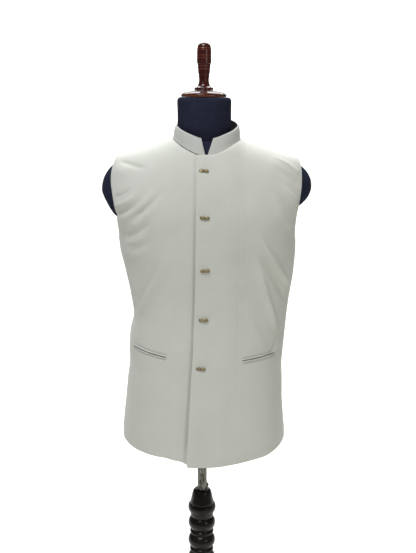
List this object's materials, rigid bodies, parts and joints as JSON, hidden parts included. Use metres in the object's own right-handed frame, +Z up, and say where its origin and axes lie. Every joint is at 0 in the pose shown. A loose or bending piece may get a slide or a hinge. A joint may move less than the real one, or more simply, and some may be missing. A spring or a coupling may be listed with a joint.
{
  "type": "sleeveless bandhgala jacket on a dress form",
  "caption": "Sleeveless stand-collar jacket buttoned up the front, worn by a cloth-covered dress form on a turned post with a round base.",
  "frame": {"origin": "on the floor, in the middle of the round base, under the pole's axis", "axes": "+Z up along the pole; the jacket's front faces -Y; +X is the wearer's left"},
  "size_m": [0.4599, 0.4, 1.6096],
  "materials": {
    "cloth": "ivory suiting cloth with a soft sheen",
    "button": "antique brass",
    "form_cover": "navy-black jersey",
    "finial": "glossy dark red-brown lacquer",
    "pole": "mottled zinc coating",
    "knob": "black, slightly shiny",
    "post": "near-black lacquer"
  },
  "bodies": {
    "stand": {"base": "post", "post": "post"},
    "clamp": {"clamp_knob": "knob"},
    "pole": {"pole": "pole"},
    "dressed_form": {"form_body": "form_cover", "neck_finial": "finial", "front_right": "cloth", "front_left": "cloth", "back": "cloth", "collar": "cloth", "pocket_jet_right_upper": "cloth", "pocket_jet_right_lower": "cloth", "pocket_jet_left_upper": "cloth", "pocket_jet_left_lower": "cloth", "button_1": "button", "button_2": "button", "button_3": "button", "button_4": "button", "button_5": "button"}
  },
  "joints": [
    {"name": "height", "type": "slide", "parent": "stand", "child": "pole", "axis": [0, 0, 1], "range_m": [-0.06, 0.2]},
    {"name": "turn", "type": "hinge", "parent": "pole", "child": "dressed_form", "pos_m": [0, 0, 0.9], "axis": [0, 0, 1], "continuous": true},
    {"name": "clamp_screw", "type": "hinge", "parent": "stand", "child": "clamp", "pos_m": [0, 0, 0.574], "axis": [0.0837, 0.9965, 0], "continuous": true}
  ]
}
